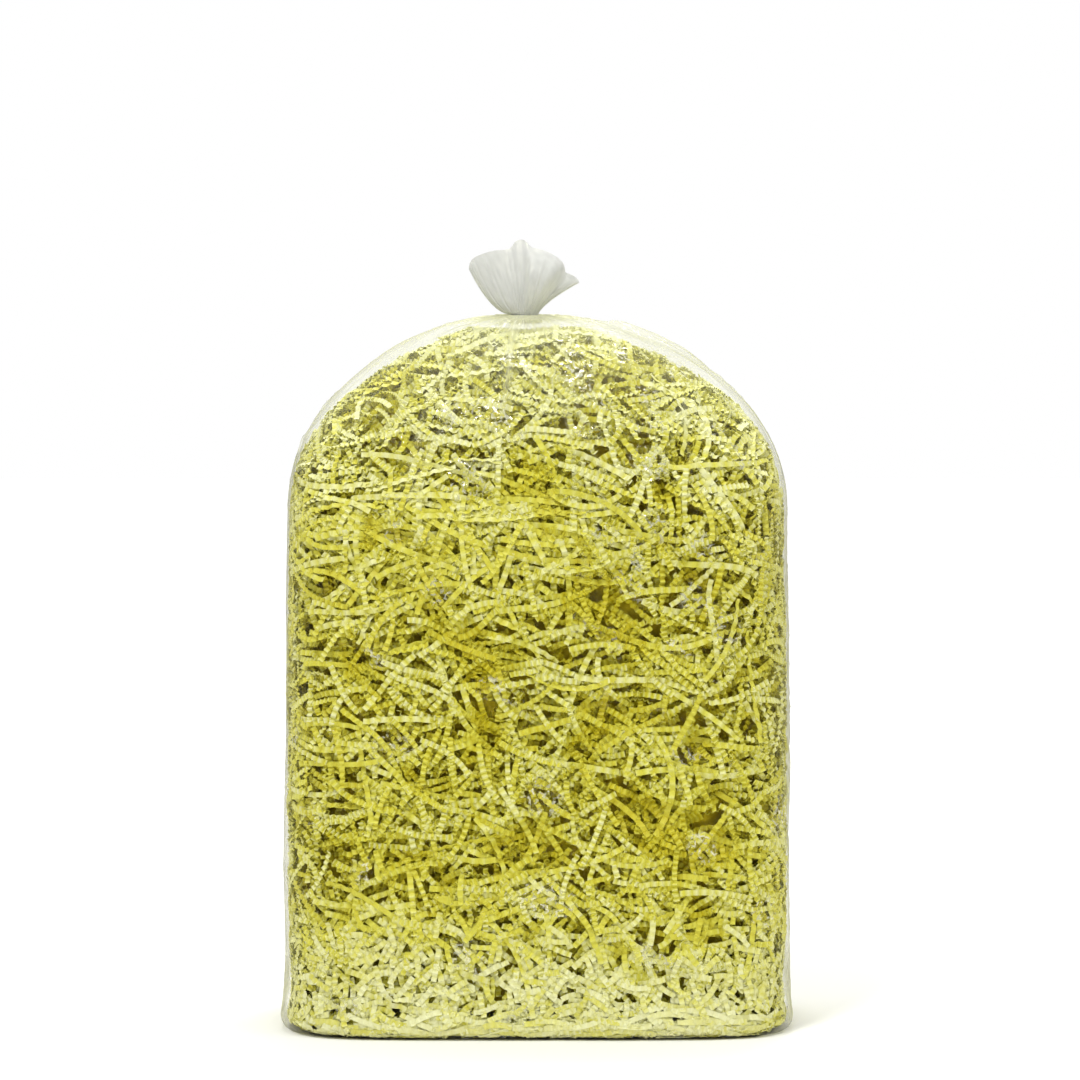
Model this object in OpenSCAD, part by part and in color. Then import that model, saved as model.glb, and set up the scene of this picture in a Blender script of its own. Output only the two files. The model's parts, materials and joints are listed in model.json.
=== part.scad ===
// Clear gusseted bag filled with crinkle-cut paper shred, gathered and closed with a twist tie.
// Millimetres, +Z up, origin on the ground at the middle of the base, front towards -Y.

/* [Bag] */
// Half of the bag's width, measured halfway up
half_width = 140.5; // [110:0.5:170]
// Half of the bag's depth, front to back
half_depth = 92; // [75:0.5:110]
// Height at which the straight walls end and the dome starts, seen from the front
wall_height = 290; // [240:1:340]
// Height of the film's crown, round the neck
crown_height = 400.5; // [385:0.5:440]
// How far the neck stands off the bag's middle, to the right
neck_offset = -7; // [-12:0.5:12]
// How far the empty film at the foot stands out past the walls
foot_flare = 6; // [0:0.5:8]
// Wall of the film, thicker than real film so that it is a solid
film_wall = 0.5; // [0.4:0.1:0.8]

/* [Fill] */
// Width of one paper strand, an eighth of an inch
strand_width = 3.2; // [2:0.1:4]
// Thickness of one strand's paper
strand_paper = 0.3; // [0.2:0.05:0.4]
// Height of a crinkle, from valley to ridge
crinkle = 1.0; // [0.5:0.1:1.2]
// Length of a strand between its ends
strand_length = 42; // [30:1:44]
// Folds in one strand
strand_folds = 9; // [5:1:11]

/* [Neck and tail] */
// Radius of the gathered film inside the tie
neck_radius = 8; // [7:0.25:9]
// Height of the tail's far tip above the point it bends about
tail_reach = 38; // [30:1:42]

/* [Twist tie] */
// Width of the tie's ribbon
tie_width = 4; // [3:0.5:4.5]
// Thickness of the tie's ribbon over its wire
tie_thickness = 1.1; // [1:0.1:1.3]
// Diameter of the wire in the tie
wire_diameter = 0.5; // [0.4:0.05:0.6]
// Length of the part where both ends are twisted together
twist_length = 12; // [8:1:14]
// Turns in the twist
twist_turns = 2.5; // [1:0.5:4]

/* [Hidden] */

FILM = [0.88, 0.9, 0.88, 0.5];
PAPER = [0.93, 0.91, 0.5];
SHADE = [0.72, 0.68, 0.2];
WHITE = [0.95, 0.95, 0.94];
STEEL = [0.6, 0.6, 0.62];

ring_points = 64;
foot_radius = 9;
belly = 2;
foot_fade = 20;
dome_rise = crown_height - wall_height;
side_wall_height = 268;
side_dome_rise = crown_height - side_wall_height;
crown_hole = neck_radius + 8;
crown_rim = crown_height - 1.2;
dome_top = crown_height - 3;
core_inset = 9;
core_drop = 10;
layer_inset = 3.6;
shoulder_inset = 5.6;
crown_inset = 7;
clear = 0.4;

pivot = [neck_offset, 0, crown_height + 4.5];
knuckle_radius = 6;
groove_z = crown_height - 6;
tie_z = groove_z + clear + tie_width / 2;
tie_radius = neck_radius + clear + tie_thickness / 2;
twist_pitch = 22;
fan_points = 40;
fan_rows = 10;

function clamp01(t) = max(0, min(1, t));
function smooth(t) = clamp01(t) * clamp01(t) * (3 - 2 * clamp01(t));
function signed_power(v, p) = sign(v) * pow(abs(v), p);

// The bag's half width and half depth at height z, for a surface that lies e inside the film's outside
function wall_half_width(z) =
    half_width + foot_flare * exp(-z / foot_fade) + belly * sin(180 * clamp01(z / wall_height));
function dome_factor(z, start, rise) = z <= start ? 1 : sqrt(max(0, 1 - pow((z - start) / rise, 2)));
function foot_cut(z, e) =
    let (r = foot_radius - e, up = min(r, max(0, z - e)))
    r - sqrt(max(0, r * r - pow(r - up, 2)));
function bag_a(z, e) = (wall_half_width(z) - e) * dome_factor(z, wall_height, dome_rise - e) - foot_cut(z, e);
function bag_b(z, e) =
    (wall_half_width(z) - half_width + half_depth - e) * dome_factor(z, side_wall_height, side_dome_rise - e)
    - foot_cut(z, e);
// Exponent of the cross-section's curve: squarish at the foot, round at the neck
function bag_n(z) = 5 - 1.2 * clamp01(z / wall_height) - 1.8 * smooth((z - wall_height + 30) / 120);
function bag_x(z) = neck_offset * pow(clamp01((z - wall_height - 50) / (dome_rise - 50)), 3);

function bag_ring(z, a, b) = [
    for (i = [0 : ring_points - 1])
        let (t = 360 * i / ring_points, p = 2 / bag_n(z))
        [bag_x(z) + a * signed_power(cos(t), p), b * signed_power(sin(t), p), z]
];

// Heights of the rings: close together on the foot and on the dome, and even between them
function bag_levels(e, top) = concat(
    [for (t = [0 : 22.5 : 90]) e + (foot_radius - e) * (1 - cos(t))],
    [for (i = [1 : 8]) foot_radius + (wall_height - foot_radius) * i / 8],
    [for (t = [8 : 8 : 72]) wall_height + (top - wall_height) * sin(t) / sin(80)],
    [top]
);
function bag_rings(e, top) = [for (z = bag_levels(e, top)) bag_ring(z, bag_a(z, e), bag_b(z, e))];

function flat(lists) = [for (l = lists) for (p = l) p];
function band(lower, upper, n) = [
    for (i = [0 : n - 1]) let (j = (i + 1) % n)
        each [[lower + i, upper + j, lower + j], [lower + i, upper + i, upper + j]]
];
function bands(first, count, n) = [for (k = [0 : count - 2]) each band(first + k * n, first + (k + 1) * n, n)];
function flipped(faces) = [for (f = faces) [f[2], f[1], f[0]]];
function fan_up(first, n) = [for (i = [1 : n - 2]) [first, first + i + 1, first + i]];

module bag_solid(e, top) {
    rings = bag_rings(e, top);
    n = ring_points;
    faces = concat(
        bands(0, len(rings), n),
        flipped(fan_up(0, n)),
        fan_up((len(rings) - 1) * n, n)
    );
    polyhedron(flat(rings), faces);
}

// The film: an outer and an inner skin that meet round the neck's hole
module bag_film() {
    rim_ring = function(r, z) [
        for (i = [0 : ring_points - 1]) let (t = 360 * i / ring_points)
            [neck_offset + r * cos(t), r * sin(t), z]
    ];
    outer = concat(bag_rings(0, dome_top), [rim_ring(crown_hole, crown_rim)]);
    inner = concat(bag_rings(film_wall, dome_top - film_wall), [rim_ring(crown_hole, crown_rim - film_wall)]);
    n = ring_points;
    start = len(outer) * n;
    faces = concat(
        bands(0, len(outer), n),
        flipped(fan_up(0, n)),
        flipped(bands(start, len(inner), n)),
        fan_up(start, n),
        band(start - n, start + (len(inner) - 1) * n, n)
    );
    color(FILM) polyhedron(concat(flat(outer), flat(inner)), faces);
}

// Welded strip along the middle of the base, inside the film
module bottom_seal() {
    color(FILM) translate([0, 0, film_wall + 0.6])
        cube([2 * half_width - 50, 6, 0.8], center = true);
}

// Film gathered under and inside the tie, with a groove for the tie and a dished top
module neck_gather() {
    foot = crown_height - 9;
    color(FILM) translate([neck_offset, 0, 0]) difference() {
        rotate_extrude($fn = 64) polygon([
            [0, foot], [crown_hole - clear, foot], [crown_hole - clear, crown_rim - 0.7],
            [neck_radius + 2, groove_z], [neck_radius, groove_z],
            [neck_radius, crown_height], [0, crown_height]
        ]);
        translate([0, 0, pivot[2]]) sphere(knuckle_radius + clear, $fn = 64);
    }
}

// Round knot of film that the tail swings on
module neck_knuckle() {
    color(FILM) translate(pivot) sphere(knuckle_radius, $fn = 64);
}

// Root of the tail: a cup over the knuckle
module tail_root() {
    color(FILM) translate(pivot) difference() {
        rotate_extrude($fn = 64) polygon([[0, 1.8], [7.8, 1.8], [9.6, 8.5], [0, 8.5]]);
        sphere(knuckle_radius + clear, $fn = 64);
    }
}

// Length of the tail's film from the bend, along a ray at angle t from straight up, + to the right
function lobe(t, middle, width, height) = height * exp(-pow((t - middle) / width, 2));
function fan_reach(t) = tail_reach * (0.79
    + lobe(t, -58, 16, 0.26) + lobe(t, -37, 13, 0.06) + lobe(t, -4, 9, 0.2)
    + lobe(t, 20, 14, 0.1) + lobe(t, 66, 8, 0.06));
function fan_row(j, side) = [
    for (i = [0 : fan_points])
        let (
            s = j / fan_rows,
            t = -66 + 134 * i / fan_points,
            edge = sin(180 * i / fan_points),
            reach = 9.5 + (fan_reach(t) - 9.5) * s,
            lean = t * (0.72 + 0.28 * s),
            depth = 0.4 + edge * (2.2 + 3.2 * s * (1.3 - s))
        )
        [reach * sin(lean), side * depth + 1.2 * s * sin(9 * t), max(8.9, reach * cos(lean))]
];

// The free film above the tie, spread into a fan with a lobe at each side
module tail_fan() {
    front = flat([for (j = [0 : fan_rows]) fan_row(j, -1)]);
    back = flat([for (j = [0 : fan_rows]) fan_row(j, 1)]);
    w = fan_points + 1;
    b = len(front);
    at = function(i, j) j * w + i;
    quads = [for (j = [0 : fan_rows - 1]) for (i = [0 : fan_points - 1])
        [at(i, j), at(i, j + 1), at(i + 1, j + 1), at(i + 1, j)]];
    front_faces = [for (q = quads) each [[q[0], q[1], q[2]], [q[0], q[2], q[3]]]];
    back_faces = [for (q = quads) each
        [[b + q[2], b + q[1], b + q[0]], [b + q[3], b + q[2], b + q[0]]]];
    top = [for (i = [0 : fan_points - 1]) let (p = at(i, fan_rows), q = p + 1)
        each [[p, b + p, b + q], [p, b + q, q]]];
    foot = [for (i = [0 : fan_points - 1]) let (p = i, q = i + 1)
        each [[p, b + q, b + p], [p, q, b + q]]];
    left = [for (j = [0 : fan_rows - 1]) let (p = at(0, j), q = at(0, j + 1))
        each [[p, b + p, b + q], [p, b + q, q]]];
    right = [for (j = [0 : fan_rows - 1]) let (p = at(fan_points, j), q = at(fan_points, j + 1))
        each [[p, b + q, b + p], [p, q, b + q]]];
    color(FILM) translate(pivot)
        polyhedron(concat(front, back), concat(front_faces, back_faces, top, foot, left, right));
}

module tie_ring(shape_clear) {
    translate([neck_offset, 0, tie_z]) rotate_extrude($fn = 96) translate([tie_radius, 0])
        children();
}

// Ribbon of the tie where it goes round the neck, hollow along its wire
module tie_band() {
    color(WHITE) tie_ring() difference() {
        square([tie_thickness, tie_width], center = true);
        circle(d = wire_diameter + 0.1, $fn = 24);
    }
}

module tie_wire() {
    color(STEEL) tie_ring() circle(d = wire_diameter, $fn = 24);
}

// Places its children on the twist's axis, which leaves the back of the neck and rises
module on_twist(along) {
    translate([neck_offset, tie_radius + tie_thickness / 2 + 0.5, tie_z + 2.2])
        rotate([-90 + twist_pitch, 0, 0]) translate([0, 0, along]) children();
}

// Both ends of the ribbon, twisted round each other
module tie_twist() {
    color(WHITE) on_twist(0)
        linear_extrude(height = twist_length, twist = -360 * twist_turns, slices = 40)
        for (side = [-1, 1]) translate([0, side * (tie_thickness / 2 + 0.05)]) difference() {
            square([tie_width - 0.6, tie_thickness], center = true);
            circle(d = wire_diameter + 0.16, $fn = 8);
        }
}

module tie_twist_wires() {
    color(STEEL) on_twist(0)
        linear_extrude(height = twist_length, twist = -360 * twist_turns, slices = 40)
        for (side = [-1, 1]) translate([0, side * (tie_thickness / 2 + 0.05)])
            circle(d = wire_diameter, $fn = 8);
}

// The loose tips past the twist, spread apart
module tie_ends() {
    color(WHITE) on_twist(twist_length + 0.1)
        for (side = [-1, 1]) translate([side * 0.4, 0, 0]) rotate([0, side * 26, 0])
            translate([side * tie_thickness / 2, 0, 3.6])
            cube([tie_thickness, tie_width - 0.6, 6], center = true);
}

// The packed shred behind the strands that show
module fill_core() {
    color(SHADE) bag_solid(core_inset, crown_height - core_inset - core_drop);
}

// One crinkled strand, lying along X with its width along Z
module strand(length) {
    step = length / strand_folds;
    path = [for (i = [0 : strand_folds]) [i * step - length / 2, (i % 2 - 0.5) * crinkle]];
    outline = concat(
        [for (p = path) p + [0, strand_paper / 2]],
        [for (i = [strand_folds : -1 : 0]) path[i] - [0, strand_paper / 2]]
    );
    translate([0, 0, -strand_width / 2]) linear_extrude(height = strand_width) polygon(outline);
}

// How far out a side of the bag stands, u across it. Side 0 is the front, and they go anticlockwise
function side_out(side, u, z, e) =
    let (
        across = side % 2 == 0 ? bag_a(z, e) : bag_b(z, e),
        out = side % 2 == 0 ? bag_b(z, e) : bag_a(z, e),
        n = bag_n(z)
    )
    out * pow(max(0, 1 - pow(abs(u) / across, n)), 1 / n);

// Lays a strand on a side of the bag, a little inside the film
module lay_strand(side, u, z, spin, length, e) {
    y = -side_out(side, u, z, e);
    yaw = atan((side_out(side, u - 1, z, e) - side_out(side, u + 1, z, e)) / 2);
    tilt = -atan((side_out(side, u, z - 1, e) - side_out(side, u, z + 1, e)) / 2);
    translate([bag_x(z), 0, 0]) rotate([0, 0, 90 * side]) translate([u, y, z])
        rotate([0, 0, yaw]) rotate([tilt, 0, 0]) rotate([0, spin, 0]) strand(length);
}

// Rows of strands on one side of the bag between two heights, each turned a little its own way
module shred(side, low, high, rows, half_span, seed, inset = layer_inset, longest = strand_length) {
    columns = max(1, floor(2 * half_span / (strand_length + 6)));
    turn = rands(-14, 14, rows * columns, seed);
    cut = rands(0.72, 1, rows * columns, seed + 1);
    for (row = [0 : rows - 1]) for (column = [0 : columns - 1]) {
        k = row * columns + column;
        shift = (row % 2 - 0.5) * 8;
        u = (column + 0.5 - columns / 2) * (strand_length + 6) + shift;
        z = low + (high - low) * (row + 0.5) / rows;
        color(PAPER) lay_strand(side, u, z, turn[k], longest * cut[k], inset);
    }
}

// Rows of shorter strands on the dome, where the film stands further off them
module shoulder(side, rows, half_span, seed) {
    shred(side, 292, 302 + 16 * rows, rows, half_span, seed, shoulder_inset, 32);
}

module shred_front_foot() { shred(0, 18, 104, 5, 100, 11); }
module shred_front_low() { shred(0, 104, 200, 5, 100, 13); }
module shred_front_high() { shred(0, 200, 290, 5, 100, 17); }
module shred_front_shoulder() { shoulder(0, 3, 78, 19); }
module shred_back_foot() { shred(2, 18, 104, 5, 100, 23); }
module shred_back_low() { shred(2, 104, 200, 5, 100, 29); }
module shred_back_high() { shred(2, 200, 290, 5, 100, 31); }
module shred_back_shoulder() { shoulder(2, 3, 78, 37); }
module shred_left_low() { shred(3, 18, 150, 7, 52, 41); }
module shred_left_high() { shred(3, 150, 290, 7, 52, 43); }
module shred_left_shoulder() { shoulder(3, 2, 50, 47); }
module shred_right_low() { shred(1, 18, 150, 7, 52, 53); }
module shred_right_high() { shred(1, 150, 290, 7, 52, 59); }
module shred_right_shoulder() { shoulder(1, 2, 50, 61); }

// Strands on the top of the dome, under the gathered film
module shred_crown() {
    for (side = [0 : 3]) shred(side, 352, 374, 1, 25, 67 + side, crown_inset, 24);
}

bag_film();
bottom_seal();
neck_gather();
neck_knuckle();
tail_root();
tail_fan();
tie_band();
tie_wire();
tie_twist();
tie_twist_wires();
tie_ends();
fill_core();
shred_front_foot();
shred_front_low();
shred_front_high();
shred_front_shoulder();
shred_back_foot();
shred_back_low();
shred_back_high();
shred_back_shoulder();
shred_left_low();
shred_left_high();
shred_left_shoulder();
shred_right_low();
shred_right_high();
shred_right_shoulder();
shred_crown();
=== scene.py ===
import json

import bmesh
import bpy
import numpy as np
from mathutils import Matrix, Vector


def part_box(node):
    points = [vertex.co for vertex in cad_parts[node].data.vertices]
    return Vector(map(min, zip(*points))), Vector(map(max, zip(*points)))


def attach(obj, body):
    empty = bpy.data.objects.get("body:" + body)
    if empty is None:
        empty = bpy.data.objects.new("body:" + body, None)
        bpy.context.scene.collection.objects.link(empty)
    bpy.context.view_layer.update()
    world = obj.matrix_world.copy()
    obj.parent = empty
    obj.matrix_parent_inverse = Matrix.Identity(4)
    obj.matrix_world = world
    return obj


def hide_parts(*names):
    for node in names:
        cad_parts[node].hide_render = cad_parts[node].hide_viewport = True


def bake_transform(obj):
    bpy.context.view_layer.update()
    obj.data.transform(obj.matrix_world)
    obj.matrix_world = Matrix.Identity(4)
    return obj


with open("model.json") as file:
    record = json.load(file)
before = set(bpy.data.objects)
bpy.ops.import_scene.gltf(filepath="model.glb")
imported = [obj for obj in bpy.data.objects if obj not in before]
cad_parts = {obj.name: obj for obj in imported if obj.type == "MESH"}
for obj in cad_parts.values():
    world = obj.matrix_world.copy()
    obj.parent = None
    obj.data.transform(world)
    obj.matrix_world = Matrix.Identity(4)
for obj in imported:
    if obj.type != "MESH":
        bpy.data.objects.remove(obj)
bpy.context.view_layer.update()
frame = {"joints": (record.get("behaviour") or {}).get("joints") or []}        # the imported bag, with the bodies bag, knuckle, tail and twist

# Everything below is worked out in millimetres, with +Z up and the bag's front towards -Y, and goes into
# the meshes in metres.
MM = 0.001


def box_mm(node):
    """A CAD node's lowest and highest corner, in millimetres."""
    low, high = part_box(node)
    return np.array(low) / MM, np.array(high) / MM


FILM_HIGH = box_mm("bag_film")[1]
KNUCKLE_LOW, KNUCKLE_HIGH = box_mm("neck_knuckle")
TIE_LOW, TIE_HIGH = box_mm("tie_band")

# The bag's driving sizes, as the design has them
HALF_WIDTH = 140.5
HALF_DEPTH = 92.0
WALL_HEIGHT = 290.0
SIDE_WALL_HEIGHT = 268.0
CROWN = FILM_HIGH[2] + 1.2  # the top that the dome would have, if it did not dip to the neck
FOOT_FLARE = 6.0  # how far the walls spread at the foot
FOOT_FADE = 20.0  # the height over which that spread falls to a third
FOOT_RADIUS = 9.0
BELLY = 2.0  # how far the walls swell at half their height
PIVOT = (KNUCKLE_LOW + KNUCKLE_HIGH) / 2
NECK_X = PIVOT[0]
TIE_MIDDLE = (TIE_LOW + TIE_HIGH) / 2
TIE_INNER = (TIE_HIGH[0] - TIE_LOW[0]) / 2 - 1.1  # less the ribbon and the ridge over its wire
NECK_FILM_RADIUS = 7.7  # where the bunched film goes up through the tie
TAIL_FILM_THICKNESS = 0.12

# The paper strands
STRAND_WIDTH = 3.175
PAPER_THICKNESS = 0.16
FILL_INSET = 0.8  # the gap between the film and the shred's surface
FILL_DROP = 2.5  # how much lower than the film's the shred's dome is
SPINE_LOW, SPINE_HIGH = 30, 260  # the stretch of the bag's middle line that strands are drawn from

# Heights where one region of CAD strands gives way to the next
FACE_BANDS = (104, 200, 290)
WALL_BANDS = (150, 290)
CROWN_BAND = 356


# ---------------------------------------------------------------- colours, nodes and meshes

def linear(code):
    """An sRGB hex colour as linear red, green, blue and 1: each part over 12.92 where it is dark, and a
    power of 2.4 of it elsewhere."""
    value = np.array([int(code[i:i + 2], 16) for i in (1, 3, 5)]) / 255
    value = np.where(value <= 0.04045, value / 12.92, ((value + 0.055) / 1.055) ** 2.4)
    return (*value.tolist(), 1.0)


def add(tree, kind, links=None, **settings):
    """Adds a shader node. links maps an input to the socket that feeds it; the other settings are the
    node's own properties or, under an input's name with underscores for blanks, that input's value."""
    made = tree.nodes.new(kind)
    for name, value in settings.items():
        if hasattr(made, name):
            setattr(made, name, value)
        else:
            made.inputs[name.replace("_", " ")].default_value = value
    for name, socket in (links or {}).items():
        tree.links.new(socket, made.inputs[name])
    return made


def noise(tree, place, size, detail):
    """Noise in the piece's own coordinates, with clumps about size millimetres across."""
    return add(tree, "ShaderNodeTexNoise", {"Vector": place.outputs["Object"]},
               Scale=1 / (size * MM), Detail=detail)


def math_node(tree, operation, *terms, clamp=False):
    """The output of a Math node, each of whose terms is a socket or a number."""
    made = add(tree, "ShaderNodeMath", operation=operation, use_clamp=clamp)
    for index, term in enumerate(terms):
        if isinstance(term, bpy.types.NodeSocket):
            tree.links.new(term, made.inputs[index])
        else:
            made.inputs[index].default_value = term
    return made.outputs[0]


def map_range(tree, socket, low, high, first, last, **settings):
    """The output of a Map Range node that takes low to first and high to last."""
    made = add(tree, "ShaderNodeMapRange", {"Value": socket}, **settings)
    for name, value in (("From Min", low), ("From Max", high), ("To Min", first), ("To Max", last)):
        made.inputs[name].default_value = value
    return made.outputs["Result"]


def two_tones(tree, socket, first, last):
    """A colour ramp from the first hex colour to the last."""
    made = add(tree, "ShaderNodeValToRGB", {"Fac": socket})
    made.color_ramp.elements[0].color = linear(first)
    made.color_ramp.elements[1].color = linear(last)
    return made


def new_material(name):
    """An empty node material and its output node."""
    made = bpy.data.materials.new(name)
    made.use_nodes = True
    made.node_tree.nodes.clear()
    return made, add(made.node_tree, "ShaderNodeOutputMaterial")


def make_piece(name, points, quads, material, smooth=True, attributes=None):
    """A mesh object from points in millimetres and faces of four corners (a corner repeated makes a
    triangle)."""
    mesh = bpy.data.meshes.new(name)
    quads = np.asarray(quads)
    triangular = quads[:, 2] == quads[:, 3]
    sizes = np.where(triangular, 3, 4)
    loops = quads[np.arange(4)[None, :] < sizes[:, None]]
    mesh.vertices.add(len(points))
    mesh.vertices.foreach_set("co", (np.asarray(points) * MM).astype(np.float32).ravel())
    mesh.loops.add(len(loops))
    mesh.loops.foreach_set("vertex_index", loops.astype(np.int32))
    mesh.polygons.add(len(quads))
    mesh.polygons.foreach_set("loop_start", np.concatenate([[0], np.cumsum(sizes)[:-1]]).astype(np.int32))
    mesh.update(calc_edges=True)
    mesh.polygons.foreach_set("use_smooth", np.broadcast_to(smooth, len(quads)).tolist())
    for key, values in (attributes or {}).items():
        channel = mesh.attributes.new(key, "FLOAT", "POINT")
        channel.data.foreach_set("value", values.astype(np.float32).ravel())
    mesh.validate()
    mesh.materials.append(material)
    piece = bpy.data.objects.new(name, mesh)
    bpy.context.scene.collection.objects.link(piece)
    return piece


def tube_faces(rows, around):
    """Faces of a grid of rows by points around, closed round each row, that look outwards when the rows go
    up and the points go anticlockwise."""
    row, col = np.meshgrid(np.arange(rows - 1), np.arange(around), indexing="ij")
    here, beside = row * around + col, row * around + (col + 1) % around
    return np.stack([here, beside, beside + around, here + around], -1).reshape(-1, 4)


def disc_faces(first, around, centre, up):
    """Triangles from a ring of points to a centre point, looking up or down."""
    here = first + np.arange(around)
    beside = first + (np.arange(around) + 1) % around
    middle = np.full(around, centre)
    edge = [here, beside] if up else [beside, here]
    return np.stack([*edge, middle, middle], -1)


def normals_of(grid):
    """Outward unit normals of a closed grid of rows going up and points going anticlockwise: the cross
    product of the step round the row and the step up the column."""
    around = np.roll(grid, -1, 1) - np.roll(grid, 1, 1)
    upward = np.gradient(grid, axis=0)
    normal = np.cross(around, upward)
    return normal / np.maximum(np.linalg.norm(normal, axis=-1, keepdims=True), 1e-9)


def waves(points, length, seed, count=20):
    """A smooth random field of about unit size: the sum of plane waves, about one length long, in random
    directions and at random phases."""
    rng = np.random.default_rng(seed)
    ways = rng.normal(size=(count, 3))
    ways /= np.linalg.norm(ways, axis=1, keepdims=True)
    rates = 2 * np.pi / (length * rng.uniform(0.7, 1.5, count))
    phases = rng.uniform(0, 2 * np.pi, count)
    flat = points.reshape(-1, 3)
    total = sum(np.cos(flat @ (way * rate) + phase) for way, rate, phase in zip(ways, rates, phases))
    return (total * np.sqrt(2 / count)).reshape(points.shape[:-1])


def creases(points, length, seed, sharp=0.22):
    """Thin ridges along the lines where a random field is nought: 1 less the field's size over sharp,
    never below 0, to the power 1.5."""
    return np.clip(1 - np.abs(waves(points, length, seed)) / sharp, 0, 1) ** 1.5


def smooth_step(value, low, high):
    """0 below low, 1 above high, and a smooth rise between them: with t for the share of the way, three
    times its square less twice its cube."""
    t = np.clip((value - low) / (high - low), 0, 1)
    return t * t * (3 - 2 * t)


def unit(vectors):
    """Each vector over its own length."""
    return vectors / np.maximum(np.linalg.norm(vectors, axis=-1, keepdims=True), 1e-9)


# ---------------------------------------------------------------- the bag's own shape

def section(z, inset=0.0, drop=0.0):
    """Half width, half depth, exponent and middle of the bag's cross-section at height z, a superellipse.
    The surface is inset inside the film, and its dome is lower by drop. The walls are straight with a
    slight belly and a flared foot, and the dome is an ellipse in front view and in side view."""
    share = np.clip(z / WALL_HEIGHT, 0, 1)
    wall = FOOT_FLARE * np.exp(-z / FOOT_FADE) + BELLY * np.sin(np.pi * share) - inset
    rise = CROWN - WALL_HEIGHT - inset - drop
    side_rise = CROWN - SIDE_WALL_HEIGHT - inset - drop
    dome = np.sqrt(np.clip(1 - (np.maximum(z - WALL_HEIGHT, 0) / rise) ** 2, 0, 1))
    side_dome = np.sqrt(np.clip(1 - (np.maximum(z - SIDE_WALL_HEIGHT, 0) / side_rise) ** 2, 0, 1))
    radius = max(FOOT_RADIUS - inset, 4.0)
    up = np.clip(z - inset, 0, radius)
    cut = radius - np.sqrt(np.maximum(radius ** 2 - (radius - up) ** 2, 0))
    power = 5 - 1.2 * share - 1.8 * smooth_step(z, WALL_HEIGHT - 30, WALL_HEIGHT + 90)
    middle = NECK_X * np.clip((z - WALL_HEIGHT - 50) / (CROWN - WALL_HEIGHT - 50), 0, 1) ** 3
    return (HALF_WIDTH + wall) * dome - cut, (HALF_DEPTH + wall) * side_dome - cut, power, middle


def ring(turn, half_width, half_depth, power, middle, z):
    """Points of a superellipse at angles turn, each coordinate a signed power of the cosine or sine."""
    c, s = np.cos(turn), np.sin(turn)
    x = middle + half_width * np.sign(c) * np.abs(c) ** (2 / power)
    y = half_depth * np.sign(s) * np.abs(s) ** (2 / power)
    return np.stack(np.broadcast_arrays(x, y, z), -1)


def even_turns(count, half_width, half_depth, power):
    """Angles that space points evenly round a superellipse: its length is summed over a fine run of
    angles."""
    fine = np.linspace(0, 2 * np.pi, 4001)
    line = ring(fine, half_width, half_depth, power, 0, 0)
    length = np.concatenate([[0], np.cumsum(np.linalg.norm(np.diff(line, axis=0), axis=1))])
    return np.interp(np.arange(count) / count * length[-1], length, fine)


def heights(count, inset, drop):
    """Heights from the foot to the dome's top, evenly spaced along the bag's outline in side view, whose
    length is summed over a fine run of heights."""
    top = CROWN - inset - drop
    fine = np.concatenate([
        inset + np.linspace(0, 12, 60),
        np.linspace(inset + 12.2, SIDE_WALL_HEIGHT, 300),
        SIDE_WALL_HEIGHT + (top - SIDE_WALL_HEIGHT) * np.sin(np.linspace(0.01, np.pi / 2, 600)),
    ])
    depth = section(fine, inset, drop)[1]
    length = np.concatenate([[0], np.cumsum(np.hypot(np.diff(fine), np.diff(depth)))])
    return np.interp(np.linspace(0, length[-1], count), length, fine)


# ---------------------------------------------------------------- the paper strands

def fill_level(points):
    """Below 1 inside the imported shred, 1 on its surface and above 1 outside: a point's shares of the half
    width and of the half depth, each to the section's power, added up."""
    half_width, half_depth, power, middle = section(points[..., 2], FILL_INSET, FILL_DROP)
    across = np.abs(points[..., 0] - middle) / np.maximum(half_width, 0.01)
    along = np.abs(points[..., 1]) / np.maximum(half_depth, 0.01)
    return np.minimum(across, 50) ** power + np.minimum(along, 50) ** power


def draw_to_fill(points):
    """Moves points onto the shred's surface, along the line from the bag's middle line to each: the place
    is found by halving the stretch that holds it."""
    spine = np.zeros_like(points)
    spine[..., 2] = np.clip(points[..., 2], SPINE_LOW, SPINE_HIGH)
    low, high = np.zeros(points.shape[:-1]), np.full(points.shape[:-1], 1.6)
    for _ in range(22):
        middle = (low + high) / 2
        outside = fill_level(spine + middle[..., None] * (points - spine)) > 1
        high = np.where(outside, middle, high)
        low = np.where(outside, low, middle)
    return spine + low[..., None] * (points - spine)


def fill_normals(points):
    """Unit normals of the shred's surface: the way in which fill_level grows fastest."""
    step = 0.4
    slopes = [fill_level(points + shift) - fill_level(points - shift) for shift in np.eye(3) * step]
    return unit(np.stack(slopes, -1))


def sow_patches():
    """A fine grid of patches over the shred's surface: each patch's corner, two edges and area."""
    rows = heights(220, FILL_INSET, FILL_DROP)
    turn = even_turns(300, HALF_WIDTH, HALF_DEPTH, 4)
    half_width, half_depth, power, middle = (v[:, None] for v in section(rows, FILL_INSET, FILL_DROP))
    grid = ring(turn[None, :], np.maximum(half_width, 0.3), np.maximum(half_depth, 0.3), power, middle,
                rows[:, None])
    corner = grid[:-1]
    side = np.roll(grid, -1, 1)[:-1] - corner
    rise = grid[1:] - corner
    area = np.linalg.norm(np.cross(side, rise), axis=-1)
    return corner.reshape(-1, 3), side.reshape(-1, 3), rise.reshape(-1, 3), area.ravel()


PATCHES = sow_patches()
REGIONS = {}


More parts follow.
